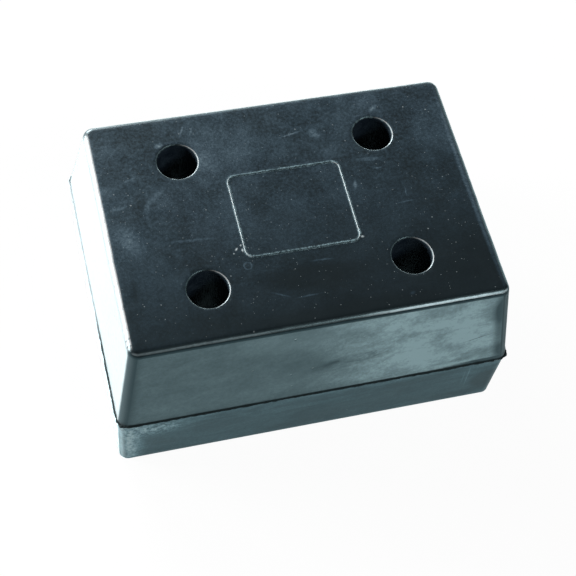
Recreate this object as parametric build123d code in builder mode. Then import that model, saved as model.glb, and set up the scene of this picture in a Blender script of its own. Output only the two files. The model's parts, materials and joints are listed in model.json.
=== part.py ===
"""Bumper buffer: one moulded block of black rubber, bolted down through four bores.

All sizes are in millimetres. The block stands on its base, centred on the origin,
with its length along X, its depth along Y and +Z up. It comes from a mould with two
halves. The lower half forms a shallow skirt with nearly upright walls. The upper half
forms the body above it, whose walls lean in towards the striking face on top.
"""

import os
from math import radians, tan

from build123d import *

# The block
length = 139.4  # along X, at the parting line
depth = 104.1  # along Y, at the parting line
height = 66.0  # from the base to the striking face
parting_height = 28.1  # from the base to where the mould halves meet
corner_radius = 3.5  # the four upright corners, in both mould halves
face_edge_radius = 2.5  # the round between the walls and the striking face
base_edge_radius = 0.4  # the small round along the foot of the skirt

# Draft, the lean that lets each wall leave the mould, in degrees
end_draft = 8.0  # the upper walls at the two ends
side_draft = 10.5  # the upper walls along the two long sides
skirt_draft = 0.25  # all four walls of the skirt

# Flash, the thin lip of rubber squeezed out between the mould halves
flash_reach = 0.7  # how far it stands out of the walls
flash_thickness = 0.6

# Bolt bores, straight through from face to base
bore_diameter = 14.0  # clears an M12 bolt
bore_spacing_x = 70.0  # between bore axes
bore_spacing_y = 51.0
bore_edge_break = 0.5  # the bevel at both mouths of each bore

# Witness line, the ridge round the plain insert in the middle of the upper mould half
insert_length = 40.0  # along X, over the ridge
insert_depth = 33.0  # along Y, over the ridge
insert_corner_radius = 3.0
witness_width = 0.4
witness_height = 0.2

# How far each wall moves inwards over its own height
body_height = height - parting_height
end_lean = body_height * tan(radians(end_draft))
side_lean = body_height * tan(radians(side_draft))
skirt_lean = parting_height * tan(radians(skirt_draft))

with BuildPart() as rubber_block:
    # The skirt widens a little from the base up to the parting line
    with BuildSketch(Plane.XY):
        RectangleRounded(length - 2 * skirt_lean, depth - 2 * skirt_lean, corner_radius)
    with BuildSketch(Plane.XY.offset(parting_height)):
        RectangleRounded(length, depth, corner_radius)
    loft(ruled=True)

    # The body narrows from the parting line to the striking face
    with BuildSketch(Plane.XY.offset(parting_height)):
        RectangleRounded(length, depth, corner_radius)
    with BuildSketch(Plane.XY.offset(height)):
        RectangleRounded(length - 2 * end_lean, depth - 2 * side_lean, corner_radius)
    loft(ruled=True)

    striking_face = faces().sort_by(Axis.Z)[-1]
    fillet(striking_face.outer_wire().edges(), face_edge_radius)
    base_face = faces().sort_by(Axis.Z)[0]
    fillet(base_face.outer_wire().edges(), base_edge_radius)

    # The flash runs all round the block, half above the parting line and half below
    with BuildSketch(Plane.XY.offset(parting_height - flash_thickness / 2)):
        RectangleRounded(
            length + 2 * flash_reach,
            depth + 2 * flash_reach,
            corner_radius + flash_reach,
        )
    extrude(amount=flash_thickness)

    # Four bolt bores, with the sharp edge taken off at both ends
    with Locations((0, 0, height)):
        with GridLocations(bore_spacing_x, bore_spacing_y, 2, 2):
            Hole(bore_diameter / 2)
    bore_mouths = edges(Select.LAST).filter_by(GeomType.CIRCLE)
    chamfer(bore_mouths, bore_edge_break)

    # The witness line stands up from the striking face
    with BuildSketch(Plane.XY.offset(height)):
        RectangleRounded(insert_length, insert_depth, insert_corner_radius)
        RectangleRounded(
            insert_length - 2 * witness_width,
            insert_depth - 2 * witness_width,
            insert_corner_radius - witness_width,
            mode=Mode.SUBTRACT,
        )
    extrude(amount=witness_height)

rubber_block.part.label = "rubber_block"

os.makedirs("parts", exist_ok=True)
export_step(rubber_block.part, "parts/rubber_block.step")
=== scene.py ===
"""The looks of the bumper buffer: a finely meshed rubber moulding, its material, floor, lamps and camera.

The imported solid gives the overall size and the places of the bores. The moulding made here follows
that solid and adds what a mould leaves behind: ragged flash, nicked edges, shallow sink and grain.
"""

import json
import math

import bpy
import numpy as np
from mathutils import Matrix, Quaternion, Vector, geometry, kdtree, noise


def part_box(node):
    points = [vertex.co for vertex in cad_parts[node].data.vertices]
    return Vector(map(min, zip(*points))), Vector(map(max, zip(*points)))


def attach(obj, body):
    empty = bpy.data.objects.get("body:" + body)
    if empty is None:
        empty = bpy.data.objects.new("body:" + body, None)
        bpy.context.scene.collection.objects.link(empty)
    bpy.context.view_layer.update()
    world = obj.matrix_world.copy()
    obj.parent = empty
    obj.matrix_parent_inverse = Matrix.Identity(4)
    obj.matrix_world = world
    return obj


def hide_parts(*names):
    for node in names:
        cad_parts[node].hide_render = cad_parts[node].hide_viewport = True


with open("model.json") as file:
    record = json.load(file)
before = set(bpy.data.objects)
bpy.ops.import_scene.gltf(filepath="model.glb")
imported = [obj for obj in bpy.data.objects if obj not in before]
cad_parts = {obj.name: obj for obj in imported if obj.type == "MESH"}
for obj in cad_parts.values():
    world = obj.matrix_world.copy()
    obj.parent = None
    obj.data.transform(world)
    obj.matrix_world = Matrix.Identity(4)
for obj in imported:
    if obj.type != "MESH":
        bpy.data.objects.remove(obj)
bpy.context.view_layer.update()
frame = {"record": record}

MM = 0.001
NODE = "rubber_block"

# Sizes of the moulding, the same as the solid's
PARTING_HEIGHT = 28.1 * MM
CORNER = 3.5 * MM
FACE_EDGE = 2.5 * MM
BASE_EDGE = 0.4 * MM
END_DRAFT = math.radians(8.0)
SIDE_DRAFT = math.radians(10.5)
SKIRT_DRAFT = math.radians(0.25)
FLASH_REACH = 0.7 * MM
FLASH_THICKNESS = 0.6 * MM
BORE_BREAK = 0.5 * MM
INSERT_LENGTH = 40.0 * MM
INSERT_DEPTH = 33.0 * MM
INSERT_CORNER = 3.0 * MM
WITNESS_WIDTH = 0.4 * MM
WITNESS_HEIGHT = 0.2 * MM

# What the frame gives: half sizes at the parting line, the striking face and the bores
low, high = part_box(NODE)
HALF_LENGTH = high.x - FLASH_REACH
HALF_DEPTH = high.y - FLASH_REACH
HEIGHT = high.z - WITNESS_HEIGHT
BORES = [
    (Vector(mount["pos_m"][:2]), mount["dims"]["r_mm"] * MM)
    for mount in frame["record"]["mounts"]
    if mount["kind"] == "bore"
]
BORE_X, BORE_Y = max(abs(bore.x) for bore, _ in BORES), max(abs(bore.y) for bore, _ in BORES)
BORE_RADIUS = BORES[0][1]

# How finely the moulding is meshed
SIDE_STEP = 0.8 * MM
WALL_STEP = 1.4 * MM
FACE_STEP = 1.05 * MM
BASE_STEP = 3.0 * MM
CORNER_POINTS = 12
BORE_POINTS = 72
BORE_STEP = 1.6 * MM
ROW_PITCH = 0.87  # between the rows of points on a flat face, in steps
STRAY = 0.14  # how far such a point strays from its row, in steps
CLEARANCE = 0.62  # how far it keeps from an outline, in steps
MESH_SEED = 5
SHARP_ANGLE = math.radians(50)

# The broken edge of a bore, as shares of its width outwards and of its height from the end
BORE_BEVEL = [(1.0, 0.0), (0.62, 0.12), (0.28, 0.42), (0.0, 1.0)]
BEVEL_BANDS = len(BORE_BEVEL) - 1

# The section of the flash, as shares of its reach and as millimetres above the parting line,
# before it thickens at the corners
FLASH_SECTION = [(0.45, -0.26), (0.86, -0.14), (1.0, 0.0), (0.86, 0.14), (0.45, 0.26)]

# The section of the witness line, as shares of its width inwards and of its height
WITNESS_SECTION = [(0.0, 0.0), (0.3, 1.0), (0.7, 1.0), (1.0, 0.0)]

# How deep the unevenness of the moulding goes
SINK_DEPTH = 0.06 * MM
RIPPLE_DEPTH = 0.01 * MM
WORN_DEPTH = 0.16 * MM
NICK_DEPTH = 0.5 * MM
MOUTH_NICK_DEPTH = 0.16 * MM

# Colours of the rubber, its blooms and its dust, and of the painted light and shade laid on them
RUBBER = (0.0030, 0.0052, 0.0070, 1)
# painted shade: the darker tone where the bores go down
BORE_MOUTH_SHADE = (0.0018, 0.0034, 0.0052, 1)
BORE_WALL = (0.0050, 0.0088, 0.0150, 1)
BORE_CLOUD = (0.0120, 0.0190, 0.0280, 1)
BORE_DUST = (0.120, 0.170, 0.200, 1)
FACE_THIN = (0.075, 0.148, 0.222, 1)
FACE_THICK = (0.150, 0.195, 0.215, 1)
WALL_BLOOM = (0.255, 0.370, 0.395, 1)
SKIRT_THIN = (0.110, 0.300, 0.370, 1)
SKIRT_THICK = (0.265, 0.365, 0.390, 1)
# a painted highlight along the round of the front top edge
EDGE_HIGHLIGHT_PAINT = (0.560, 0.690, 0.730, 1)
# chalky bloom on the ends, partly painted light: the pale neutral left tone stands in for the left lamp's
# glare, and both tones are laid along the ends' rounded top edges as painted highlight
LEFT_CHALK_AND_HIGHLIGHT = (0.690, 0.690, 0.690, 1)
RIGHT_CHALK_AND_REFLECTION = (0.360, 0.600, 0.660, 1)
WORN_RIM = (0.240, 0.360, 0.400, 1)
DUSTY_LINE = (0.250, 0.370, 0.410, 1)
DUST = (0.450, 0.520, 0.540, 1)
# the black of the flash, also painted as shade on the wall just above and below it
FLASH_BLACK_AND_SHADE = (0.0025, 0.0032, 0.0036, 1)
# painted light: the flash paled at the back of the left end, washed out by the left lamp's glare
FLASH_GLARE_PAINT = (0.330, 0.370, 0.385, 1)
GLOSS_TINT = (0.62, 0.93, 1.0, 1)
SHEEN_TINT = (0.76, 0.96, 1.0, 1)

# The studio
FLOOR_SIZE = 12.0
FLOOR_COLOUR = (0.9, 0.9, 0.9, 1)
FLOOR_GLOW = (0.66, 0.93, 1.0, 1)  # what glossy rays see of the floor; the camera sees white
GLOW_SHARE = 0.95
WHITE = (1.0, 1.0, 1.0, 1)
FILL_STRENGTH = 0.10
LAMP_DISTANCE = 1.4  # from the middle of the block
# Each lamp's name, azimuth from +X and elevation in degrees, width, height and watts
LAMPS = [
    ("back_softbox", 106, 13, 0.70, 0.50, 34),
    ("left_softbox", 153, 9, 0.65, 0.50, 44),
    ("front_softbox", -54, 42, 0.65, 0.32, 10),
]
CAMERA_AIM = Vector((5.66, 5.08, 0.0)) * MM
CAMERA_DISTANCE = 518.3 * MM
CAMERA_ELEVATION = math.radians(60.01)
CAMERA_AZIMUTH = math.radians(-22.99)
CAMERA_ROLL = math.radians(10.70)
CAMERA_LENS = 84.32
SENSOR_WIDTH = 36.0


# ---------------------------------------------------------------- the moulding's mesh


def lumps(points, size, seed, octaves=3):
    """Smooth noise of about -1 to 1 at each point, with lumps of the given size."""
    shift = Vector((17.3, -9.1, 4.7)) * seed
    values = [noise.fractal(Vector(p) / size + shift, 1.0, 2.0, octaves) for p in points]
    return np.array(values)


def rounded_outline(half_x, half_y, radius):
    """Points of a rounded rectangle, anticlockwise, as many whatever its size."""
    across = round(2 * HALF_LENGTH / SIDE_STEP)
    along = round(2 * HALF_DEPTH / SIDE_STEP)
    signs = [(1, 1), (-1, 1), (-1, -1), (1, -1)]
    centres = [np.array([sx * (half_x - radius), sy * (half_y - radius)]) for sx, sy in signs]
    points = []
    for corner, count in enumerate([along, across, along, across]):
        turn = math.pi / 2 * corner
        out = radius * np.array([math.cos(turn), math.sin(turn)])
        for share in np.arange(count) / count:
            middle = (1 - share) * centres[corner - 1] + share * centres[corner]
            points.append(middle + out)
        for share in np.arange(CORNER_POINTS) / CORNER_POINTS:
            angle = turn + math.pi / 2 * share
            points.append(centres[corner] + radius * np.array([math.cos(angle), math.sin(angle)]))
    return np.array(points)


def circle(centre, radius, count):
    """Points of a circle, anticlockwise."""
    angles = 2 * math.pi * np.arange(count) / count
    return np.array(centre) + radius * np.c_[np.cos(angles), np.sin(angles)]


def body_half(half, draft, height):
    """Half size of the leaning body at a height, with the round towards the striking face."""
    centre_height = HEIGHT - FACE_EDGE
    wall = half - (height - PARTING_HEIGHT) * math.tan(draft)
    centre = half - (centre_height - PARTING_HEIGHT) * math.tan(draft) - FACE_EDGE / math.cos(draft)
    rise = min(max((height - centre_height) / FACE_EDGE, -1), 1)
    if rise <= math.sin(draft):
        return wall
    return centre + FACE_EDGE * math.sqrt(1 - rise * rise)


class Moulding:
    """Collects the vertices and faces of one closed mesh."""

    def __init__(self):
        self.vertices = []
        self.faces = []

    def ring(self, outline, height):
        """Adds a closed ring of points at one height and returns their numbers."""
        first = len(self.vertices)
        self.vertices += [(x, y, height) for x, y in outline]
        return list(range(first, first + len(outline)))

    def join(self, lower, upper):
        """Fills the band between two rings of as many points, facing away from their middle."""
        count = len(lower)
        for i in range(count):
            j = (i + 1) % count
            self.faces.append((lower[i], lower[j], upper[j], upper[i]))

    def stack(self, rings):
        """Joins each ring to the next."""
        for lower, upper in zip(rings, rings[1:]):
            self.join(lower, upper)

    def sheet(self, rings, holes, step, height, upward):
        """Fills the flat face inside the first ring with triangles, and leaves the holes open."""
        fixed = [number for ring in rings for number in ring]
        flat = [Vector(self.vertices[number][:2]) for number in fixed]
        tree = kdtree.KDTree(len(flat))
        for index, point in enumerate(flat):
            tree.insert(point.to_3d(), index)
        tree.balance()
        half = max(p.x for p in flat), max(p.y for p in flat)
        generator = np.random.default_rng(MESH_SEED)
        inner = []
        for row, y in enumerate(np.arange(-half[1], half[1], step * ROW_PITCH)):
            for x in np.arange(-half[0], half[0], step) + (row % 2) * step / 2:
                shift = generator.uniform(-STRAY, STRAY, 2) * step
                point = Vector((x + shift[0], y + shift[1]))
                near_corner = abs(x) + abs(y) > half[0] + half[1] - CORNER
                if near_corner or tree.find(point.to_3d())[2] < CLEARANCE * step:
                    continue
                if all((point - centre).length > radius for centre, radius in holes):
                    inner.append(point)
        first = len(self.vertices)
        self.vertices += [(p.x, p.y, height) for p in inner]
        numbers = fixed + list(range(first, len(self.vertices)))
        edges = []
        start = 0
        for ring in rings:
            count = len(ring)
            edges += [(start + i, start + (i + 1) % count) for i in range(count)]
            start += count
        points, _, triangles, sources, _, _ = geometry.delaunay_2d_cdt(
            flat + inner, edges, [], 0, 1e-9
        )
        for triangle in triangles:
            middle = sum((points[i] for i in triangle), Vector((0, 0))) / 3
            if any((middle - centre).length < radius for centre, radius in holes):
                continue
            corners = [numbers[sources[i][0]] for i in triangle]
            self.faces.append(tuple(corners if upward else corners[::-1]))


def outer_rings(moulding):
    """The rings of the block's outside, from the foot of the skirt up to the striking face."""
    rings = []
    skirt_lean = PARTING_HEIGHT * math.tan(SKIRT_DRAFT)
    for angle in np.radians([0, 30, 60, 90]):
        inset = skirt_lean + BASE_EDGE * (1 - math.sin(angle))
        outline = rounded_outline(HALF_LENGTH - inset, HALF_DEPTH - inset, CORNER - inset)
        rings.append(moulding.ring(outline, BASE_EDGE * (1 - math.cos(angle))))

    below = PARTING_HEIGHT - FLASH_THICKNESS / 2
    count = round((below - BASE_EDGE) / WALL_STEP)
    for share in np.arange(1, count + 1) / count:
        height = BASE_EDGE + share * (below - BASE_EDGE)
        inset = (PARTING_HEIGHT - height) * math.tan(SKIRT_DRAFT)
        outline = rounded_outline(HALF_LENGTH - inset, HALF_DEPTH - inset, CORNER)
        rings.append(moulding.ring(outline, height))

    rings += flash_rings(moulding)

    above = PARTING_HEIGHT + FLASH_THICKNESS / 2
    top_of_wall = HEIGHT - FACE_EDGE + FACE_EDGE * math.sin(END_DRAFT)
    count = round((top_of_wall - above) / WALL_STEP)
    heights = list(above + (top_of_wall - above) * np.arange(count + 1) / count)
    for angle in np.linspace(SIDE_DRAFT, math.pi / 2, 9):
        heights.append(HEIGHT - FACE_EDGE + FACE_EDGE * math.sin(angle))
    for height in heights:
        half_x = body_half(HALF_LENGTH, END_DRAFT, height)
        half_y = body_half(HALF_DEPTH, SIDE_DRAFT, height)
        lean_x = HALF_LENGTH - (height - PARTING_HEIGHT) * math.tan(END_DRAFT) - half_x
        corner = CORNER - max(lean_x, 0)
        rings.append(moulding.ring(rounded_outline(half_x, half_y, corner), height))
    return rings


def flash_rings(moulding):
    """The thin ragged lip between the mould halves, heavier and torn round the corners."""
    wall = rounded_outline(HALF_LENGTH, HALF_DEPTH, CORNER)
    lip = rounded_outline(HALF_LENGTH + FLASH_REACH, HALF_DEPTH + FLASH_REACH, CORNER)
    places = np.c_[wall, np.zeros(len(wall))]
    farthest = HALF_LENGTH + HALF_DEPTH - 2 * MM
    corner = smooth_step(np.abs(wall).sum(1), farthest - 7 * MM, farthest)
    ragged = 0.78 + 0.22 * lumps(places, 9 * MM, 1) + (0.30 + 0.50 * corner) * lumps(places, 1.5 * MM, 2, 2)
    ragged = np.clip(ragged, 0.15, 1.0)[:, None]
    droop = (lumps(places, 6 * MM, 3) * 0.12 + corner * lumps(places, 1.8 * MM, 4, 2) * 0.5) * MM
    thickness = 1 + 0.9 * corner
    rings = []
    for share, lift in FLASH_SECTION:
        outline = wall + (lip - wall) * ragged * share
        ring = moulding.ring(outline, PARTING_HEIGHT)
        for number, rise in zip(ring, droop * share + lift * MM * thickness):
            x, y, z = moulding.vertices[number]
            moulding.vertices[number] = (x, y, z + rise)
        rings.append(ring)
    return rings


def bore_rings(moulding, centre, radius):
    """The rings of one bore, from the base up to the striking face."""
    rings = []
    for out, up in BORE_BEVEL:
        outline = circle(centre, radius + out * BORE_BREAK, BORE_POINTS)
        rings.append(moulding.ring(outline, up * BORE_BREAK))
    count = round((HEIGHT - 2 * BORE_BREAK) / BORE_STEP)
    for share in np.arange(1, count) / count:
        height = BORE_BREAK + share * (HEIGHT - 2 * BORE_BREAK)
        rings.append(moulding.ring(circle(centre, radius, BORE_POINTS), height))
    for out, up in reversed(BORE_BEVEL):
        outline = circle(centre, radius + out * BORE_BREAK, BORE_POINTS)
        rings.append(moulding.ring(outline, HEIGHT - up * BORE_BREAK))
    return rings


def witness_rings(moulding):
    """The fine ridge round the mould insert, as four rings from its outside to its inside."""
    rings = []
    for inset, lift in WITNESS_SECTION:
        step = inset * WITNESS_WIDTH
        outline = rounded_outline(INSERT_LENGTH / 2 - step, INSERT_DEPTH / 2 - step, INSERT_CORNER - step)
        rings.append(moulding.ring(outline, HEIGHT + lift * WITNESS_HEIGHT))
    return rings


def build_moulding():
    """The whole block as one closed mesh, with the second material on the walls of the bores."""
    moulding = Moulding()
    outside = outer_rings(moulding)
    moulding.stack(outside)
    bores = [bore_rings(moulding, centre, radius) for centre, radius in BORES]
    bevel = BEVEL_BANDS * BORE_POINTS
    inside = []
    for rings in bores:
        first = len(moulding.faces)
        moulding.stack([ring[::-1] for ring in rings])
        inside += range(first + bevel, len(moulding.faces) - bevel)
    witness = witness_rings(moulding)
    holes = [(centre, radius + BORE_BREAK * 0.98) for centre, radius in BORES]
    top_holes = [rings[-1] for rings in bores]
    base_holes = [rings[0] for rings in bores]
    moulding.sheet([outside[-1], *witness, *top_holes], holes, FACE_STEP, HEIGHT, True)
    moulding.sheet([outside[0], *base_holes], holes, BASE_STEP, 0.0, False)
    mesh = bpy.data.meshes.new("moulded_block")
    mesh.from_pydata(moulding.vertices, [], moulding.faces)
    for number in inside:
        mesh.polygons[number].material_index = 1
    mesh.update()
    return mesh


def vertex_arrays(mesh):
    """Places and normals of a mesh's vertices."""
    places = np.zeros(len(mesh.vertices) * 3)
    mesh.vertices.foreach_get("co", places)
    normals = np.zeros(len(mesh.vertices) * 3, np.float32)
    mesh.vertex_normals.foreach_get("vector", normals)
    return places.reshape(-1, 3), normals.reshape(-1, 3).astype(float)


def smooth_step(value, start, end):
    """0 up to start, 1 from end on, and a soft rise between them."""
    share = np.clip((value - start) / (end - start), 0, 1)
    return share * share * (3 - 2 * share)


def weather(mesh):
    """Gives the mesh the small unevenness of moulded rubber: sink, rounded wear and nicks."""
    places, normals = vertex_arrays(mesh)
    x, y, z = places.T
    sink = SINK_DEPTH * lumps(places, 26 * MM, 11) + RIPPLE_DEPTH * lumps(places, 5 * MM, 12)
    inset = np.maximum(np.abs(x) / HALF_LENGTH, np.abs(y) / HALF_DEPTH)
    edge = smooth_step(z, HEIGHT - 2.4 * MM, HEIGHT - 1.2 * MM) * smooth_step(inset, 0.80, 0.90)
    worn = np.clip(lumps(places, 9 * MM, 13) - 0.1, 0, 1) * WORN_DEPTH
    nicked = np.clip(lumps(places, 2.2 * MM, 14, 2) - 0.62, 0, 1) * NICK_DEPTH
    move = sink - edge * (worn + nicked)
    nick = np.clip(lumps(places, 1.9 * MM, 15, 2) - 0.45, 0, 1) * MOUTH_NICK_DEPTH
    near_face = smooth_step(z, HEIGHT - 1.4 * MM, HEIGHT - 0.4 * MM)
    for centre, radius in BORES:
        away = np.hypot(x - centre.x, y - centre.y) - radius
        mouth = np.exp(-((away / (0.7 * MM)) ** 2)) * near_face
        move = move - mouth * nick
    on_base = z < 0.3 * MM
    move[on_base] = 0
    places = places + normals * move[:, None]
    places = np.clip(places, [low.x, low.y, low.z], [high.x, high.y, high.z])
    mesh.vertices.foreach_set("co", places.ravel())
    mesh.update()


# ---------------------------------------------------------------- materials


class Nodes:
    """Short ways to add and join a material's nodes."""

    def __init__(self, name):
        self.material = bpy.data.materials.new(name)
        self.material.use_nodes = True
        self.tree = self.material.node_tree
        self.shader = self.tree.nodes["Principled BSDF"]
        self.place = self.add("ShaderNodeTexCoord").outputs["Object"]
        self.ragged = self.place

    def add(self, kind, inputs=None, **settings):
        """Adds a node, with values or links for its inputs and with its own settings."""
        node = self.tree.nodes.new(kind)
        for name, value in settings.items():
            setattr(node, name, value)
        for key, value in (inputs or {}).items():
            self.feed(node.inputs[key], value)
        return node

    def feed(self, socket, value):
        """Links another node's output to a socket, or sets the socket to a plain value."""
        if isinstance(value, bpy.types.NodeSocket):
            self.tree.links.new(value, socket)
        else:
            socket.default_value = value

    def maths(self, operation, first, second=0.0, third=0.0, clamp=False):
        """One calculation with up to three numbers."""
        node = self.add("ShaderNodeMath", {0: first, 1: second, 2: third}, operation=operation)
        node.use_clamp = clamp
        return node.outputs[0]

    def vector(self, operation, first, second=(0, 0, 0)):
        """One calculation with up to two vectors."""
        return self.add("ShaderNodeVectorMath", {0: first, 1: second}, operation=operation).outputs[0]

    def length(self, vector):
        """How long a vector is."""
        return self.add("ShaderNodeVectorMath", {0: vector}, operation="LENGTH").outputs["Value"]

    def rise(self, value, start, end, top=1.0):
        """0 at start, top at end, with a soft rise between them."""
        inputs = {"Value": value, "From Min": start, "From Max": end, "To Max": top}
        node = self.add("ShaderNodeMapRange", inputs)
        node.interpolation_type = "SMOOTHSTEP"
        return node.outputs[0]

    def times(self, *values):
        """All the values multiplied together."""
        result = values[0]
        for value in values[1:]:
            result = self.maths("MULTIPLY", result, value)
        return result

    def total(self, *values):
        """All the values added up."""
        result = values[0]
        for value in values[1:]:
            result = self.maths("ADD", result, value)
        return result

    def less(self, value):
        """1 less the value, kept between 0 and 1."""
        return self.maths("SUBTRACT", 1.0, value, clamp=True)

    def apart(self, first, second):
        """How far apart two numbers are."""
        return self.maths("ABSOLUTE", self.maths("SUBTRACT", first, second))

    def blend(self, share, first, second):
        """A number between two others."""
        node = self.add("ShaderNodeMix", {0: share, 2: first, 3: second}, data_type="FLOAT")
        return node.outputs[0]

    def mix(self, share, first, second):
        """A colour between two others."""
        node = self.add("ShaderNodeMix", {0: share, 6: first, 7: second}, data_type="RGBA")
        return node.outputs[2]

    def noise(self, size, detail=4.0, roughness=0.55, distortion=0.0, stretch=(1, 1, 1), turn=(0, 0, 0)):
        """Noise of about 0 to 1 with lumps of the given size; it is drawn out where stretch is under 1."""
        place = self.place
        if stretch != (1, 1, 1):
            turned = {"Vector": place, "Rotation": [math.radians(angle) for angle in turn]}
            place = self.add("ShaderNodeMapping", turned).outputs[0]
            place = self.add("ShaderNodeMapping", {"Vector": place, "Scale": stretch}).outputs[0]
        inputs = {
            "Vector": place,
            "Scale": 1 / size,
            "Detail": detail,
            "Roughness": roughness,
            "Distortion": distortion,
        }
        return self.add("ShaderNodeTexNoise", inputs).outputs["Fac"]

    def wobble(self, size, reach):
        """Makes the edges of the marks and specks added from here on uneven."""
        inputs = {"Vector": self.place, "Scale": 1 / size, "Detail": 3.0, "Roughness": 0.6}
        colour = self.add("ShaderNodeTexNoise", inputs).outputs["Color"]
        shift = self.vector("SUBTRACT", colour, (0.5, 0.5, 0.5))
        shift = self.add("ShaderNodeVectorMath", {0: shift, "Scale": 2 * reach}, operation="SCALE").outputs[0]
        self.ragged = self.vector("ADD", self.place, shift)

    def oval(self, spot, size, turn, wall):
        """1 in the middle of an oval, falling to 0 at its edge.

        Its place is (x, y) on the face or, on a wall, (x, z) through the whole depth, in millimetres.
        """
        node = self.add("ShaderNodeTexGradient", {"Vector": self.ragged}, gradient_type="SPHERICAL")
        angle = math.radians(turn)
        if wall:
            location, rotation, scale = (spot[0], 0, spot[1]), (0, -angle, 0), (size[0], 1e4, size[1])
        else:
            location, rotation, scale = (spot[0], spot[1], 0), (0, 0, angle), (size[0], size[1], 1e4)
        mapping = node.texture_mapping
        mapping.vector_type = "TEXTURE"
        mapping.translation = [value * MM for value in location]
        mapping.rotation = rotation
        mapping.scale = [value * MM / 2 for value in scale]
        return node.outputs["Fac"]

    def mark(self, spot, size, turn=0.0, strength=1.0, wall=False, core=0.0):
        """A soft oval mark that fades to 0 at its edge; core is the share of it at full strength."""
        return self.rise(self.oval(spot, size, turn, wall), 0.0, 1.0 - core, strength)

    def marks(self, shapes, wall=False):
        """Soft oval marks added up; each has a middle, a size, a turn, a strength and at times a core."""
        result = 0.0
        for spot, size, turn, strength, *core in shapes:
            oval = self.mark(spot, size, turn, strength, wall, *core)
            result = self.maths("ADD", result, oval)
        return result

    def ring(self, spot, across, width, strength):
        """A soft ring mark on the face."""
        away = self.apart(self.oval(spot, (2 * across, 2 * across), 0, False), 0.5)
        return self.rise(away, width / across / 2, 0.0, strength)

    def specks(self, spacing, radius, share):
        """Small round specks of different brightness, in the given share of the cells."""
        cells = self.add("ShaderNodeTexVoronoi", {"Vector": self.ragged, "Scale": 1 / spacing})
        chance = self.add("ShaderNodeSeparateColor", {0: cells.outputs["Color"]}).outputs
        there = self.maths("LESS_THAN", chance[0], share)
        size = self.maths("MULTIPLY_ADD", chance[1], 0.6 * radius / spacing, 0.4 * radius / spacing)
        inside = self.rise(cells.outputs["Distance"], size, self.times(size, 0.5))
        bright = self.maths("MULTIPLY_ADD", self.times(chance[2], chance[2]), 0.85, 0.15)
        return self.times(there, inside, bright)


class Zones:
    """Where on the block a point is, as masks of 0 to 1."""

    def __init__(self, nodes):
        x, y, z = nodes.add("ShaderNodeSeparateXYZ", {0: nodes.place}).outputs
        normal = nodes.add("ShaderNodeTexCoord").outputs["Normal"]
        facing = nodes.add("ShaderNodeSeparateXYZ", {0: normal}).outputs
        self.x, self.y, self.z = x, y, z

        # the bores and their rims
        flat = nodes.vector("MULTIPLY", nodes.vector("ABSOLUTE", nodes.place), (1, 1, 0))
        from_bore = nodes.length(nodes.vector("SUBTRACT", flat, (BORE_X, BORE_Y, 0)))
        off_bore = nodes.maths("SUBTRACT", from_bore, BORE_RADIUS)
        self.bore = nodes.rise(off_bore, 0.25 * MM, 0.05 * MM)
        mouth = nodes.rise(z, HEIGHT - 0.9 * MM, HEIGHT - 0.4 * MM)
        self.rim = nodes.times(nodes.rise(nodes.maths("ABSOLUTE", off_bore), 0.75 * MM, 0.2 * MM), mouth)

        # the striking face and the round along its edge
        upward = nodes.rise(facing[2], 0.90, 0.985)
        near_top = nodes.rise(z, HEIGHT - FACE_EDGE + 0.2 * MM, HEIGHT - FACE_EDGE + 0.6 * MM)
        self.face = nodes.times(upward, near_top, nodes.less(self.bore))
        self.edge = nodes.times(near_top, nodes.less(upward), nodes.less(self.bore))

        # the skirt, and the flash with painted shade on the wall just above and below it, drawn wider towards
        # the right end and at the left one
        self.skirt = nodes.rise(z, PARTING_HEIGHT + 0.1 * MM, PARTING_HEIGHT - 0.3 * MM)
        from_parting = nodes.apart(z, PARTING_HEIGHT)
        heavy = nodes.maths("MAXIMUM", nodes.rise(x, 0.0, 55 * MM), nodes.rise(x, -62 * MM, -67 * MM))
        heavy = nodes.times(heavy, nodes.rise(nodes.noise(3 * MM, 3, 0.6), 0.30, 0.60))
        self.flash = nodes.rise(from_parting, nodes.blend(heavy, 0.75 * MM, 1.30 * MM), 0.40 * MM)

        # the walls above the parting line, their corners and their ends
        upright = nodes.rise(nodes.maths("ABSOLUTE", facing[2]), 0.6, 0.4)
        outside = nodes.times(upright, nodes.less(self.bore))
        above = nodes.times(outside, nodes.less(self.skirt))
        self.wall = nodes.times(above, nodes.rise(z, HEIGHT - 1.8 * MM, HEIGHT - 2.3 * MM))
        self.across = nodes.maths("ABSOLUTE", facing[0])
        turning = nodes.times(nodes.rise(self.across, 0.12, 0.35), nodes.rise(self.across, 0.985, 0.90))
        self.corner = nodes.times(outside, turning)
        self.endward = nodes.rise(self.across, 0.92, 0.985)
        self.end = nodes.times(above, nodes.less(near_top), self.endward)

        # which way the surface faces
        self.front = nodes.times(outside, nodes.rise(facing[1], -0.6, -0.85))
        self.forward = nodes.rise(facing[1], -0.30, -0.55)
        self.left = nodes.rise(facing[0], -0.10, -0.45)
        self.right = nodes.rise(facing[0], 0.10, 0.45)


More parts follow.
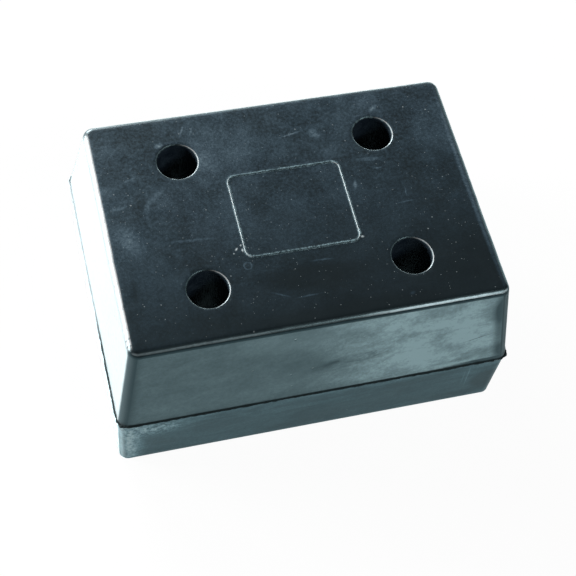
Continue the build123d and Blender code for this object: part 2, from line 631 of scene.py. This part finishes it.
def insert_line(nodes):
    """The witness line of the mould insert, dusty and not as strong all along."""
    half = (INSERT_LENGTH / 2 - INSERT_CORNER, INSERT_DEPTH / 2 - INSERT_CORNER, 0)
    flat = nodes.vector("MULTIPLY", nodes.vector("ABSOLUTE", nodes.ragged), (1, 1, 0))
    beyond = nodes.vector("MAXIMUM", nodes.vector("SUBTRACT", flat, half), (0, 0, 0))
    away = nodes.apart(nodes.length(beyond), INSERT_CORNER - WITNESS_WIDTH / 2)
    line = nodes.rise(away, 0.80 * MM, 0.20 * MM)
    patchy = nodes.rise(nodes.noise(5 * MM, 3, 0.6), 0.30, 0.62)
    broken = nodes.rise(nodes.noise(0.7 * MM, 2, 0.6), 0.30, 0.60)
    line = nodes.times(line, nodes.blend(patchy, 0.35, 1.0), broken)
    near = nodes.rise(away, 2.0 * MM, 0.3 * MM)
    crumbs = nodes.times(nodes.specks(0.7 * MM, 0.20 * MM, nodes.times(patchy, 0.8)), near)
    return nodes.maths("MAXIMUM", line, crumbs)


def face_haze_and_shade(nodes, zones):
    """The pale bloom, smears and scratches on the striking face, thinned as painted shade towards the front
    edge and the front right.
    """
    cloud = nodes.noise(30 * MM, 5, 0.60, 0.3)
    patch = nodes.noise(6 * MM, 6, 0.70, 0.4)
    mottle = nodes.noise(1.1 * MM, 4, 0.75)
    haze = nodes.total(
        nodes.rise(cloud, 0.35, 0.72, 0.20),
        nodes.rise(patch, 0.40, 0.80, 0.16),
        nodes.rise(mottle, 0.35, 0.75, 0.22),
    )
    # painted shade: the bloom thins from the back left towards the front right, where the light from behind
    # falls off
    backward = nodes.rise(nodes.maths("MULTIPLY_ADD", zones.x, -0.22, zones.y), -50 * MM, 44 * MM)
    fine = nodes.rise(nodes.noise(0.5 * MM, 3, 0.7), 0.30, 0.70)
    haze = nodes.times(haze, nodes.blend(backward, 0.08, 1.15), nodes.blend(fine, 0.65, 1.35))
    smears = nodes.total(
        nodes.marks([
            # beside the back left bore
            ((-31, 38), (7, 1.1), 65, 0.40),
            ((-28, 37), (8, 1.1), 63, 0.36),
            ((-40, 33), (4, 3), 30, 0.80),
            ((-25, 23), (16, 12), -60, 0.24),
            # a scratch that ends in a smudge, at the back
            ((6, 30), (11, 0.9), 11, 0.55),
            ((14.5, 29), (9, 5), -60, 0.42),
            # round the back right bore
            ((38, 36), (6, 2.4), 40, 0.55),
            ((31, 15), (15, 2.4), -5, 0.30),
            ((33, 11), (4, 1.2), 0, 0.50),
            ((23.4, 5.5), (4.5, 1.8), 80, 0.70),
            # the left end
            ((-57, -3), (20, 12), -60, 0.30),
            ((-52, 21), (9, 1.4), 23, 0.30),
            ((-58, 10), (8, 2), 8, 0.28),
            ((-36, -6.4), (21, 1.8), -3, 0.22),
            # between the insert and the front edge
            ((-12, -32), (9, 0.9), -25, 0.28),
            ((-3, -34), (11, 0.9), 2, 0.25),
            ((5, -21.5), (11, 1.0), -2, 0.30),
            ((31, -39.5), (3, 2), 20, 0.35),
            # the right end
            ((40, 0), (5, 0.6), 87, 0.35),
            ((39, -4.2), (12, 0.7), 3, 0.28),
            ((63, 0), (4.4, 110), 0, 0.34, 0.5),
        ]),
        nodes.times(nodes.ring((-40, 5), 19, 3.2, 0.30), nodes.mark((-46, 9), (19, 22))),
        nodes.ring((-20.3, -19.4), 2.6, 0.8, 0.30),
    )
    broken = nodes.rise(nodes.noise(1.1 * MM, 3, 0.65), 0.28, 0.62)
    haze = nodes.total(haze, nodes.times(smears, nodes.blend(broken, 0.45, 1.0)))
    # dark smudges; the first three are painted shade along the front edge and at the front right
    dark = nodes.marks([
        ((0, -27), (46, 14), 0, 0.75, 0.35),
        ((14, -42), (110, 11), 0, 0.80, 0.3),
        ((54, -32), (30, 30), 0, 0.60),
        ((-58.5, -22), (19, 4), 85, 0.60),
        ((45, 0.6), (5, 4), 0, 0.45),
        ((56, 13), (8, 7), 0, 0.45),
        ((48, 23), (5, 8), 30, 0.35),
    ])
    return nodes.times(haze, nodes.less(dark), zones.face)


def face_dust(nodes, zones):
    """White specks on the striking face, thicker where dust has gathered."""
    nodes.wobble(0.5 * MM, 0.22 * MM)
    gathered = nodes.marks([
        ((53, -3), (18, 13), -60, 0.55),
        ((61, 0), (6, 80), 0, 0.22),
        ((-60, 20), (6, 50), 0, 0.25),
        ((0, -17), (46, 8), 0, 0.16),
        ((-56, -3), (18, 14), -60, 0.20),
    ])
    clump = nodes.rise(nodes.noise(9 * MM, 3, 0.6), 0.52, 0.72)
    share = nodes.total(gathered, nodes.maths("MULTIPLY_ADD", clump, 0.16, 0.09))
    fine = nodes.specks(0.8 * MM, 0.22 * MM, share)
    coarse = nodes.specks(2.7 * MM, 0.40 * MM, nodes.total(gathered, 0.20))
    corner = nodes.marks([
        ((-22.6, -12.5), (1.9, 1.0), 50, 1.0),
        ((-20.7, -13.2), (1.0, 2.0), 0, 1.0),
        ((-20.9, -11.2), (1.1, 1.1), 0, 0.8),
        ((-23.8, -14), (0.9, 0.8), 0, 0.7),
        ((20.3, -15.2), (1.8, 1.4), 0, 0.9),
    ])
    return nodes.times(nodes.total(nodes.times(fine, 0.85), coarse, corner), zones.face)


def wall_haze_and_painted_light(nodes, zones):
    """Release bloom on the front wall, cloudy towards the right, with dark smears, painted shade on the
    upright corners and just above the flash on the right, and a painted highlight down the right corner.
    """
    rightward = nodes.rise(zones.x, -10 * MM, 32 * MM)
    cloud = nodes.noise(12 * MM, 6, 0.68, 0.3, (0.7, 1, 1.2), (0, 8, 0))
    streak = nodes.noise(4 * MM, 6, 0.72, 0.3, (0.35, 1, 1.3), (0, 10, 0))
    mottle = nodes.noise(1.2 * MM, 4, 0.72)
    base = nodes.blend(nodes.rise(cloud, 0.25, 0.75), 0.13, 0.26)
    base = nodes.times(base, nodes.blend(nodes.rise(mottle, 0.30, 0.70), 0.78, 1.20))
    base = nodes.times(base, nodes.blend(nodes.rise(streak, 0.30, 0.70), 0.85, 1.15))
    pale = nodes.times(rightward, nodes.blend(nodes.rise(cloud, 0.30, 0.70), 0.42, 1.15))
    pale = nodes.times(pale, nodes.blend(nodes.rise(streak, 0.25, 0.75), 0.72, 1.15))
    pale = nodes.times(pale, nodes.blend(nodes.rise(mottle, 0.30, 0.75), 0.75, 1.15))
    # painted shade: the bloom is taken off the rounded upright corners and the ends of the front wall, and
    # darkened just above the flash on the right; the rest are dark smears
    dark = nodes.total(
        nodes.marks([
            ((4, 44), (26, 12), 5, 0.35),
            ((55.5, 43), (17, 0.7), 14, 0.85),
            ((65.5, 46), (12, 70), 7.5, 0.80, 0.35),
            ((60, 57), (17, 24), 0, 0.55),
            ((60, 33), (26, 14), 3, 0.35, 0.3),
            ((60, 29.2), (40, 3.0), 1, 0.75, 0.5),
            ((-67, 44), (11, 80), -7.5, 0.75, 0.4),
            ((44, 32), (34, 4), 3, 0.35),
        ], wall=True),
        nodes.times(nodes.mark((11, 43.5), (44, 8), 9, 0.75, True, 0.3), nodes.rise(streak, 0.36, 0.62)),
        nodes.times(zones.corner, 0.9),
    )
    upper = nodes.mark((-6, 61), (66, 20), 0, 0.13, True, 0.3)
    haze = nodes.times(nodes.total(base, pale, upper), nodes.less(dark), zones.front)
    # a painted highlight down the middle of the rounded right corner
    corner_highlight = nodes.rise(nodes.apart(zones.across, 0.45), 0.20, 0.05)
    corner_highlight = nodes.times(corner_highlight, nodes.rise(zones.x, 50 * MM, 60 * MM), zones.forward, 0.16)
    return nodes.times(nodes.total(haze, corner_highlight), zones.wall)


def edge_highlight_paint(nodes, zones):
    """A painted highlight along the round of the front top edge, palest right of its middle."""
    line = nodes.rise(nodes.apart(zones.z, HEIGHT - 0.64 * MM), 0.38 * MM, 0.10 * MM)
    share = nodes.total(
        nodes.rise(zones.x, 8 * MM, 34 * MM, 1.0),
        nodes.rise(zones.x, 52 * MM, 62 * MM, -0.45),
        nodes.rise(zones.x, -14 * MM, -24 * MM, 0.10),
        0.06,
    )
    broken = nodes.rise(nodes.noise(1.6 * MM, 4, 0.65), 0.25, 0.60)
    return nodes.times(line, share, nodes.blend(broken, 0.65, 1.10), zones.edge, zones.forward)


def end_bloom_and_highlight(nodes, zones):
    """Chalky bloom on the two ends, thinner on the skirt, with painted highlight: pale bands along the
    rounded top edges of the ends, heaviest on the left.
    """
    patchy = nodes.rise(nodes.noise(1.6 * MM, 4, 0.65), 0.25, 0.60)
    # painted highlight along the rounded top edges of the two ends, heaviest on the left
    rubbed_and_highlight = nodes.total(nodes.times(zones.left, 0.46), nodes.times(zones.right, 0.14))
    torn = nodes.marks([
        ((-64, -38.6), (6, 1.1), 12, 0.8),
        ((-64, -40.9), (6, 0.9), -8, 0.8),
        ((-63, -43.6), (6, 2.0), 20, 1.0),
    ])
    straight = nodes.rise(nodes.maths("ABSOLUTE", zones.y), 43.0 * MM, 40.0 * MM)
    rubbed_and_highlight = nodes.times(zones.edge, rubbed_and_highlight, nodes.blend(patchy, 0.75, 1.05), nodes.less(torn), straight)
    # painted shade: a darker line where the round meets the end wall
    crease_shade = nodes.rise(nodes.apart(zones.z, HEIGHT - FACE_EDGE + 0.1 * MM), 0.55 * MM, 0.2 * MM)
    crease_shade = nodes.times(crease_shade, nodes.blend(patchy, 0.2, 0.9))
    lower = nodes.times(zones.skirt, zones.endward, nodes.blend(patchy, 0.12, 0.18))
    bloom = nodes.total(rubbed_and_highlight, nodes.times(zones.end, nodes.blend(patchy, 0.29, 0.37)), lower)
    crumbs = nodes.times(nodes.specks(3.0 * MM, 0.55 * MM, 0.35), zones.end)
    return nodes.times(bloom, nodes.less(crease_shade), nodes.less(crumbs))


def skirt_haze(nodes, zones):
    """Faint streaks on the skirt, and the pale rubbed corner at its front left."""
    streak = nodes.noise(6 * MM, 5, 0.65, 0.6, (0.25, 1, 1.2), (0, 4, 0))
    mottle = nodes.noise(1.7 * MM, 4, 0.68)
    fine = nodes.rise(nodes.noise(0.9 * MM, 3, 0.7), 0.30, 0.70)
    corner = nodes.times(
        nodes.mark((-70, 13), (22, 60), 0, 1.0, True, 0.1),
        nodes.blend(nodes.rise(mottle, 0.32, 0.68), 0.35, 1.40),
        zones.forward,
        nodes.blend(nodes.rise(zones.across, 0.10, 0.60), 1.0, 0.05),
    )
    rubbed_and_highlight = nodes.times(
        nodes.mark((-58, 23), (34, 16), 0, 0.8, True),
        nodes.rise(mottle, 0.35, 0.65),
        zones.forward,
    )
    upper = nodes.times(nodes.rise(zones.z, 12 * MM, 26 * MM), nodes.rise(streak, 0.35, 0.65))
    seam = nodes.marks([
        ((56.8, 18), (20, 0.8), -88, 0.20, 0.4),
        ((55.3, 18), (16, 0.7), -88, 0.13, 0.4),
    ], wall=True)
    patch = nodes.marks([
        ((65, 13), (15, 17), -6, 0.7, 0.6),
        ((55, 4), (40, 7), 3, 0.5, 0.3),
    ], wall=True)
    haze = nodes.total(
        nodes.blend(nodes.rise(streak, 0.30, 0.70), 0.085, 0.190),
        nodes.times(corner, 0.95),
        nodes.times(rubbed_and_highlight, 0.95),
        nodes.times(upper, 0.09),
        nodes.rise(zones.z, 24 * MM, 26.5 * MM, 0.10),
    )
    haze = nodes.times(haze, nodes.less(patch), nodes.blend(fine, 0.7, 1.3))
    return nodes.times(nodes.total(haze, seam), zones.skirt)


def wall_pits(nodes, zones):
    """A few blow holes in the front wall."""
    pits = nodes.marks([
        ((-10, 60), (1.5, 1.3), 20, 1.0),
        ((-3, 42.5), (1.5, 1.3), -30, 1.0),
        ((-10.5, 41), (1.2, 1.4), 0, 1.0),
        ((-10, 34.5), (1.3, 1.1), 0, 0.8),
        ((14, 55), (1.4, 1.2), 0, 0.8),
        ((23, 39), (1.1, 1.3), 0, 0.8),
        ((-24, 47), (1.2, 0.9), 0, 0.7),
    ], wall=True)
    return nodes.times(pits, zones.front, zones.wall)


def rubber():
    """Black moulded rubber with a bluish bloom, smears, dust, worn rims and a fine grain."""
    nodes = Nodes("moulded_rubber")
    zones = Zones(nodes)
    nodes.wobble(1.6 * MM, 0.30 * MM)

    on_face = face_haze_and_shade(nodes, zones)
    dust = face_dust(nodes, zones)
    line = nodes.times(insert_line(nodes), zones.face)
    on_wall = wall_haze_and_painted_light(nodes, zones)
    on_skirt = skirt_haze(nodes, zones)
    pits = wall_pits(nodes, zones)
    grain = nodes.noise(0.7 * MM, 3, 0.7)
    rub = nodes.rise(nodes.noise(1.3 * MM, 3, 0.6), 0.40, 0.62)

    # painted shade: a darker tone where the bores go down
    colour = nodes.mix(nodes.less(zones.bore), BORE_MOUTH_SHADE, RUBBER)
    colour = nodes.mix(on_face, colour, nodes.mix(on_face, FACE_THIN, FACE_THICK))
    colour = nodes.mix(on_wall, colour, WALL_BLOOM)
    colour = nodes.mix(on_skirt, colour, nodes.mix(on_skirt, SKIRT_THIN, SKIRT_THICK))
    # painted highlight along the round of the front top edge
    colour = nodes.mix(edge_highlight_paint(nodes, zones), colour, EDGE_HIGHLIGHT_PAINT)
    # chalky bloom on the ends, partly painted light: the pale neutral tone on the left stands in for the left
    # lamp's glare, and the bands along the ends' top edges are painted highlight
    colour = nodes.mix(end_bloom_and_highlight(nodes, zones), colour, nodes.mix(zones.right, LEFT_CHALK_AND_HIGHLIGHT, RIGHT_CHALK_AND_REFLECTION))
    back_right = nodes.times(nodes.rise(zones.x, 10 * MM, 20 * MM), nodes.rise(zones.y, 5 * MM, 12 * MM))
    worn = nodes.times(zones.rim, rub, nodes.blend(back_right, 0.15, 0.26))
    colour = nodes.mix(worn, colour, WORN_RIM)
    colour = nodes.mix(nodes.times(line, 0.90), colour, DUSTY_LINE)
    scattered = nodes.specks(2.6 * MM, 0.24 * MM, 0.20)
    scattered = nodes.times(scattered, nodes.less(zones.face), nodes.less(zones.bore))
    dust = nodes.maths("MAXIMUM", dust, nodes.times(scattered, 0.35))
    colour = nodes.mix(dust, colour, DUST)
    # the black flash, with painted shade on the wall just above and below it
    colour = nodes.mix(nodes.times(zones.flash, 0.95), colour, FLASH_BLACK_AND_SHADE)
    # painted light: the flash paled at the back of the left end, washed out by the left lamp's glare
    back_left = nodes.times(nodes.rise(zones.x, -60 * MM, -68 * MM), nodes.rise(zones.y, -24 * MM, 2 * MM))
    colour = nodes.mix(nodes.times(back_left, zones.flash, 0.95), colour, FLASH_GLARE_PAINT)

    right_corner = nodes.times(zones.corner, nodes.rise(zones.x, 0, 60 * MM))
    levels = [
        (zones.face, 0.35),
        (zones.edge, 0.33),
        (zones.skirt, 0.74),
        (zones.flash, 0.80),
        (zones.bore, 0.62),
        (right_corner, 0.75),
    ]
    roughness = 0.36
    for zone, level in levels:
        roughness = nodes.blend(zone, roughness, level)
    uneven = nodes.noise(11 * MM, 5, 0.6, 0.8)
    roughness = nodes.total(roughness, nodes.maths("MULTIPLY_ADD", uneven, 0.16, -0.08))
    roughness = nodes.total(roughness, nodes.times(nodes.total(on_face, on_wall), 0.20))
    roughness = nodes.blend(zones.end, roughness, 0.12)
    roughness = nodes.maths("MAXIMUM", roughness, nodes.times(nodes.total(dust, line), 0.8))

    peel = nodes.noise(2.2 * MM, 4, 0.62)
    height = nodes.total(
        nodes.times(grain, 0.014 * MM),
        nodes.times(peel, nodes.less(nodes.total(zones.end, zones.bore, zones.edge)), 0.045 * MM),
        nodes.times(dust, 0.06 * MM),
        nodes.times(pits, -0.30 * MM),
    )
    bump = nodes.add("ShaderNodeBump", {"Height": height, "Distance": 1.0, "Strength": 0.7})

    nodes.feed(nodes.shader.inputs["Base Color"], colour)
    nodes.feed(nodes.shader.inputs["Roughness"], nodes.maths("MINIMUM", roughness, 0.95))
    nodes.feed(nodes.shader.inputs["Normal"], bump.outputs[0])
    nodes.shader.inputs["IOR"].default_value = 1.5
    nodes.shader.inputs["Specular Tint"].default_value = GLOSS_TINT
    nodes.shader.inputs["Sheen Weight"].default_value = 1.0
    nodes.shader.inputs["Sheen Roughness"].default_value = 0.30
    nodes.shader.inputs["Sheen Tint"].default_value = SHEEN_TINT
    return nodes.material


def bore_rubber():
    """Duller black rubber down the walls of the bores, with a little dust near their mouths."""
    nodes = Nodes("bore_rubber")
    nodes.wobble(0.6 * MM, 0.25 * MM)
    z = nodes.add("ShaderNodeSeparateXYZ", {0: nodes.place}).outputs[2]
    near_mouth = nodes.rise(z, HEIGHT - 14 * MM, HEIGHT - 2 * MM)
    cloud = nodes.rise(nodes.noise(3 * MM, 4, 0.65), 0.35, 0.70)
    grain = nodes.noise(0.6 * MM, 3, 0.7)
    dust = nodes.times(nodes.specks(0.9 * MM, 0.28 * MM, nodes.times(cloud, 0.35)), near_mouth)
    colour = nodes.mix(cloud, BORE_WALL, BORE_CLOUD)
    colour = nodes.mix(nodes.times(dust, 0.35), colour, BORE_DUST)
    height = nodes.total(nodes.times(grain, 0.02 * MM), nodes.times(cloud, 0.05 * MM))
    bump = nodes.add("ShaderNodeBump", {"Height": height, "Distance": 1.0, "Strength": 0.6})
    nodes.feed(nodes.shader.inputs["Base Color"], colour)
    nodes.feed(nodes.shader.inputs["Roughness"], nodes.blend(cloud, 0.50, 0.68))
    nodes.feed(nodes.shader.inputs["Normal"], bump.outputs[0])
    nodes.shader.inputs["Specular IOR Level"].default_value = 0.3
    nodes.shader.inputs["Specular Tint"].default_value = GLOSS_TINT
    return nodes.material


# ---------------------------------------------------------------- the object


def add_object(name, mesh, materials):
    """Puts a mesh in the scene as a piece that rides on the block's body, with its materials."""
    item = bpy.data.objects.new(name, mesh)
    bpy.context.scene.collection.objects.link(item)
    for material in materials:
        mesh.materials.append(material)
    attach(item, "root")
    return item


block_mesh = build_moulding()
weather(block_mesh)
block_mesh.shade_smooth()
block_mesh.set_sharp_from_angle(angle=SHARP_ANGLE)
block = add_object("moulded_block", block_mesh, [rubber(), bore_rubber()])
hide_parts(NODE)


# ---------------------------------------------------------------- floor, lamps and camera


def add_floor():
    """A wide pale floor that looks white, and keeps a faint shadow of the block."""
    bpy.ops.mesh.primitive_plane_add(size=FLOOR_SIZE, location=(0, 0, 0))
    floor = bpy.context.object
    floor.name = "floor"
    nodes = Nodes("floor")
    nodes.shader.inputs["Base Color"].default_value = FLOOR_COLOUR
    nodes.shader.inputs["Roughness"].default_value = 0.9
    path = nodes.add("ShaderNodeLightPath")
    tone = nodes.mix(path.outputs["Is Camera Ray"], FLOOR_GLOW, WHITE)
    glow = nodes.add("ShaderNodeEmission", {"Color": tone, "Strength": 1.0})
    seen = nodes.maths("MAXIMUM", path.outputs["Is Camera Ray"], path.outputs["Is Glossy Ray"])
    share = nodes.times(seen, GLOW_SHARE)
    blend = nodes.add("ShaderNodeMixShader", {0: share, 1: nodes.shader.outputs[0], 2: glow.outputs[0]})
    nodes.tree.links.new(blend.outputs[0], nodes.tree.nodes["Material Output"].inputs["Surface"])
    floor.data.materials.append(nodes.material)


def add_softbox(name, azimuth, elevation, width, height, watts):
    """A rectangular lamp that looks at the middle of the block."""
    turn, lift = math.radians(azimuth), math.radians(elevation)
    away = Vector((math.cos(turn) * math.cos(lift), math.sin(turn) * math.cos(lift), math.sin(lift)))
    data = bpy.data.lights.new(name, "AREA")
    data.shape = "RECTANGLE"
    data.size = width
    data.size_y = height
    data.energy = watts
    lamp = bpy.data.objects.new(name, data)
    lamp.location = away * LAMP_DISTANCE + Vector((0, 0, HEIGHT / 2))
    lamp.rotation_euler = (-away).to_track_quat("-Z", "Y").to_euler()
    bpy.context.scene.collection.objects.link(lamp)


def add_world(strength):
    """An even fill light that the camera sees as white."""
    world = bpy.data.worlds.new("studio")
    world.use_nodes = True
    tree = world.node_tree
    background = tree.nodes["Background"]
    background.inputs["Color"].default_value = WHITE
    path = tree.nodes.new("ShaderNodeLightPath")
    level = tree.nodes.new("ShaderNodeMapRange")
    level.inputs["To Min"].default_value = strength
    tree.links.new(path.outputs["Is Camera Ray"], level.inputs["Value"])
    tree.links.new(level.outputs[0], background.inputs["Strength"])
    bpy.context.scene.world = world


def add_camera():
    """Looks down on the block from its front left, slightly tilted, through a long lens."""
    level = Vector((math.sin(CAMERA_AZIMUTH), -math.cos(CAMERA_AZIMUTH), 0)) * math.cos(CAMERA_ELEVATION)
    away = level + Vector((0, 0, math.sin(CAMERA_ELEVATION)))
    data = bpy.data.cameras.new("camera")
    data.lens = CAMERA_LENS
    data.sensor_width = SENSOR_WIDTH
    camera = bpy.data.objects.new("camera", data)
    camera.location = CAMERA_AIM + away * CAMERA_DISTANCE
    camera.rotation_mode = "QUATERNION"
    camera.rotation_quaternion = Quaternion(away, CAMERA_ROLL) @ (-away).to_track_quat("-Z", "Y")
    bpy.context.scene.collection.objects.link(camera)
    bpy.context.scene.camera = camera


add_floor()
for lamp in LAMPS:
    add_softbox(*lamp)
add_world(FILL_STRENGTH)
add_camera()
bpy.context.scene.view_settings.view_transform = "Standard"
